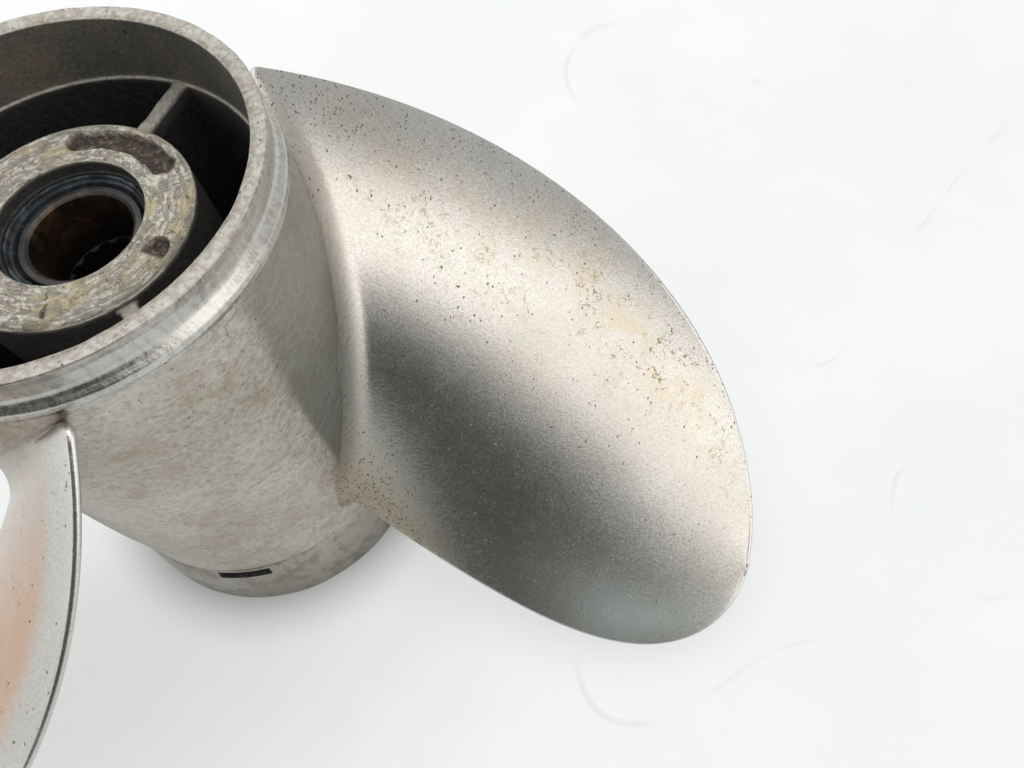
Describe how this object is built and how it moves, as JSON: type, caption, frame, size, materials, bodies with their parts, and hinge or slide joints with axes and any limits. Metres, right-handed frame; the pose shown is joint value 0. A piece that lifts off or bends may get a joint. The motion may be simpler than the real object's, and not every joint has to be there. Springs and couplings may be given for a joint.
{
  "type": "boat propeller",
  "caption": "Right-hand through-hub exhaust boat propeller with swept raked blades, flared aft ring and a rubber-cushioned splined sleeve.",
  "frame": {"origin": "on the shaft axis, where the drive sleeve's plain pilot bore starts at its forward end", "axes": "+Z along the shaft axis towards the gearcase (forward); the propeller stands on its aft rim at the lowest Z"},
  "size_m": [0.3128, 0.3195, 0.1634],
  "materials": {
    "polished_steel": "satin polished stainless steel with fine streaks",
    "cast_steel": "fine-pitted cast stainless steel",
    "hub_steel": "scaled, stained cast stainless steel",
    "blade_steel": "satin polished stainless steel with pits and rust specks",
    "rubber": "matt vulcanised rubber",
    "sleeve_metal": "tarnished turned brass"
  },
  "bodies": {
    "propeller": {"front_collar": "polished_steel", "outer_barrel": "cast_steel", "diffuser_ring": "cast_steel", "inner_hub": "hub_steel", "web_1": "hub_steel", "web_2": "hub_steel", "web_3": "hub_steel", "blade_1": "blade_steel", "blade_2": "blade_steel", "blade_3": "blade_steel", "rubber_cushion": "rubber"},
    "sleeve": {"drive_sleeve": "sleeve_metal"}
  },
  "joints": [
    {"name": "cushion_twist", "type": "hinge", "parent": "propeller", "child": "sleeve", "pos_m": [0, 0, 0], "axis": [0, 0, 1], "range_deg": [-8, 8], "stiffness_Nm_per_rad": 40}
  ]
}
